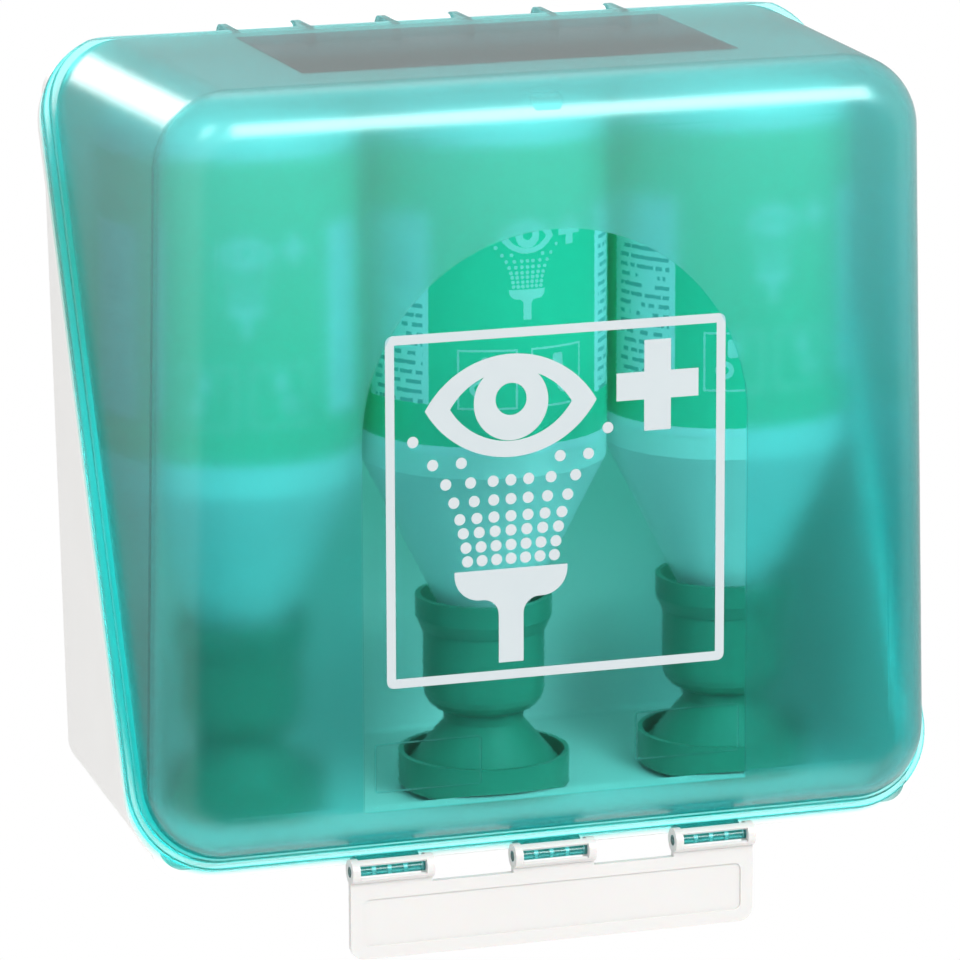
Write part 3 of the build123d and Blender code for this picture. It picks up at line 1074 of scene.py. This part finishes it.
@dataclass
class Studio:
    """A white room with soft light, and the camera.

    Lengths are in metres and angles in degrees, apart from the lens, which is in millimetres.
    """

    floor_size: float = 2.0
    floor_drop: float = 0.42
    sky: float = 0.92
    low_light: float = 0.92
    low_from: float = -0.3
    cards: tuple[DarkCard, ...] = (DarkCard((1, 1, 1), share=0.6, inner=16.0, outer=30.0),
                                   DarkCard((1, -1, -1), share=0.15, inner=22.0, outer=44.0),
                                   DarkCard((-1, 1, -1), share=0.5, inner=18.0, outer=36.0))
    softboxes: tuple[Softbox, ...] = (Softbox("key_softbox", (-0.8, -1.4, 1.5), 0.6, 6.0),
                                      Softbox("back_softbox", (0.3, 1.0, 1.5), 0.8, 2.0),
                                      Softbox("front_softbox", (0.7, -1.8, 1.2), 0.9, 30.0),
                                      Softbox("rim_softbox", (-0.45, 1.5, 0.7), 0.5, 6.0))
    target: tuple[float, float, float] = (0.0, -0.0725, -0.0379)
    distance: float = 1.7983
    azimuth: float = 18.835
    elevation: float = 13.433
    roll: float = -0.146
    lens: float = 238.36
    shift: tuple[float, float] = (-0.01589, 0.05288)

    def floor(self) -> None:
        """A plain white floor well below the box, which hangs on its wall screws."""
        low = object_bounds()[0].z
        bpy.ops.object.select_all(action="DESELECT")
        bpy.ops.mesh.primitive_plane_add(size=self.floor_size, location=(0, 0, low - self.floor_drop))
        ground = bpy.context.active_object
        ground.name = "studio_floor"
        bpy.ops.object.transform_apply(location=True, rotation=True, scale=True)
        STUDIO_WHITE.dress(ground)
        ground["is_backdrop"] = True

    def shade(self, tree: Tree, direction: Socket, card: DarkCard) -> Socket:
        """Draw one dark card.

        Args:
            tree: the room's node tree.
            direction: the direction that is looked in.
            card: the card.

        Returns:
            A factor on the room's light.
        """
        azimuth, elevation = math.radians(self.azimuth), math.radians(self.elevation)
        view = (math.sin(azimuth) * math.cos(elevation), math.cos(azimuth) * math.cos(elevation),
                math.sin(elevation))
        place = tuple(sign * part for sign, part in zip(card.signs, view))
        facing = add_node(tree, "ShaderNodeVectorMath", {0: direction, 1: place}, operation="DOT_PRODUCT")
        soft = add_node(tree, "ShaderNodeMapRange", {
            0: facing.outputs["Value"], 1: math.cos(math.radians(card.outer)),
            2: math.cos(math.radians(card.inner)), 3: 1.0, 4: card.share}, interpolation_type="SMOOTHSTEP")
        return soft.outputs[0]

    def room(self) -> None:
        """An even white room, dimmer low down, with dark cards behind the box, before it and beside it."""
        world = bpy.data.worlds.new("studio_room")
        bpy.context.scene.world = world
        world.use_nodes = True
        tree = world.node_tree
        tree.nodes.clear()
        direction = add_node(tree, "ShaderNodeTexCoord").outputs["Generated"]
        level = add_node(tree, "ShaderNodeSeparateXYZ", {0: direction}).outputs[2]
        dim = add_node(tree, "ShaderNodeMapRange", {0: level, 1: self.low_from, 2: 0.0, 3: self.low_light,
                                                    4: 1.0}, interpolation_type="SMOOTHSTEP").outputs[0]
        light = all_of(tree, *(self.shade(tree, direction, card) for card in self.cards), dim)
        lit = add_node(tree, "ShaderNodeMath", {0: light, 1: self.sky}, operation="MULTIPLY")
        seen = add_node(tree, "ShaderNodeLightPath").outputs["Is Camera Ray"]
        strength = add_node(tree, "ShaderNodeMix", {0: seen, 2: lit.outputs[0], 3: 1.0})
        glow = add_node(tree, "ShaderNodeBackground", {"Color": linear("#FFFFFF"),
                                                       "Strength": strength.outputs[0]})
        add_node(tree, "ShaderNodeOutputWorld", {"Surface": glow.outputs[0]})

    def hang(self, box: Softbox) -> None:
        """Hang a softbox and aim it at the box.

        Args:
            box: the softbox.
        """
        lamp = bpy.data.lights.new(box.name, "AREA")
        lamp.shape = "SQUARE"
        lamp.size = box.size
        lamp.energy = box.power
        holder = bpy.data.objects.new(box.name, lamp)
        bpy.context.scene.collection.objects.link(holder)
        holder.location = box.place
        holder.rotation_euler = (Vector(self.target) - Vector(box.place)).to_track_quat("-Z", "Y").to_euler()

    def camera(self) -> None:
        """The camera, before the box, to its left and a little above it."""
        data = bpy.data.cameras.new("camera")
        data.lens = self.lens
        data.sensor_width = 36.0
        data.shift_x, data.shift_y = self.shift
        data.clip_end = 100.0
        holder = bpy.data.objects.new("camera", data)
        bpy.context.scene.collection.objects.link(holder)
        turn = (Matrix.Rotation(math.radians(-self.azimuth), 4, "Z")
                @ Matrix.Rotation(math.radians(90 - self.elevation), 4, "X")
                @ Matrix.Rotation(math.radians(self.roll), 4, "Z"))
        back = turn.col[2].xyz
        holder.matrix_world = Matrix.Translation(Vector(self.target) + back * self.distance) @ turn
        bpy.context.scene.camera = holder

    def build(self) -> None:
        """Set up the floor, the light and the camera."""
        self.camera()
        self.floor()
        self.room()
        for box in self.softboxes:
            self.hang(box)
        scene = bpy.context.scene
        scene.view_settings.view_transform = "Standard"
        scene.cycles.max_bounces = 20
        scene.cycles.diffuse_bounces = 6
        scene.cycles.transmission_bounces = 16
        scene.cycles.transparent_max_bounces = 32
        log.info("studio ready")


def main() -> None:
    """Build the studio and dress and print every sub-assembly, in order."""
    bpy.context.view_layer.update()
    Studio().build()
    sign = EyewashSign().draw()
    Casing().build()
    Cover().build(sign)
    for side, turn in ((Side.LEFT, -13.0), (Side.MIDDLE, 0.0), (Side.RIGHT, 0.0)):
        EyewashBottle(side, turn).build(sign)
    for drawn in sign:
        bpy.data.objects.remove(drawn)
    log.info("eyewash station ready")


if __name__ == "__main__":
    logging.basicConfig(level=logging.INFO)
    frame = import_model()
    main()
